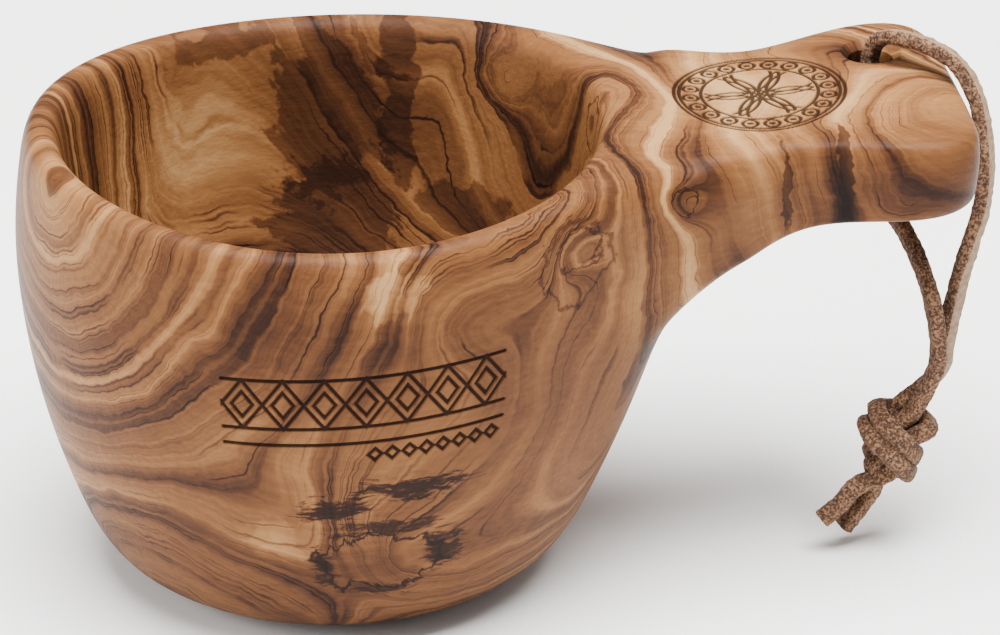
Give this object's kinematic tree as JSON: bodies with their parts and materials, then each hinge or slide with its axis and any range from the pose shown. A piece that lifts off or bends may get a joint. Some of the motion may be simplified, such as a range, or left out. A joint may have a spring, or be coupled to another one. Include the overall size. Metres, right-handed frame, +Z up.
{
  "type": "wooden drinking cup",
  "caption": "Carved wooden drinking cup with a short flared handle cut from the same block and a leather lace looped through a hole near the handle's end.",
  "frame": {"origin": "middle of the flat on the underside of the bowl, on the bowl's axis", "axes": "+Z up along the bowl's axis, +X from the bowl towards the end of the handle, +Y to the left when looking along the handle"},
  "size_m": [0.1502, 0.0948, 0.0796],
  "materials": {
    "olive_wood": "carved and sanded smooth, oiled to a soft satin, with strong dark brown figure; scorched line ornament",
    "lace_leather": "square-cut lace with one smooth tan face and rough brown cut sides"
  },
  "bodies": {
    "cup": {"cup_body": "olive_wood"},
    "lace": {"lace_over": "lace_leather", "lace_under": "lace_leather", "lace_knot": "lace_leather", "lace_tail_left": "lace_leather", "lace_tail_right": "lace_leather"}
  },
  "joints": [
    {"name": "lace_swing", "type": "hinge", "parent": "cup", "child": "lace", "pos_m": [0.086, 0.011, 0.0665], "axis": [0.1441, -0.9896, 0], "range_deg": [-10, 14]}
  ]
}
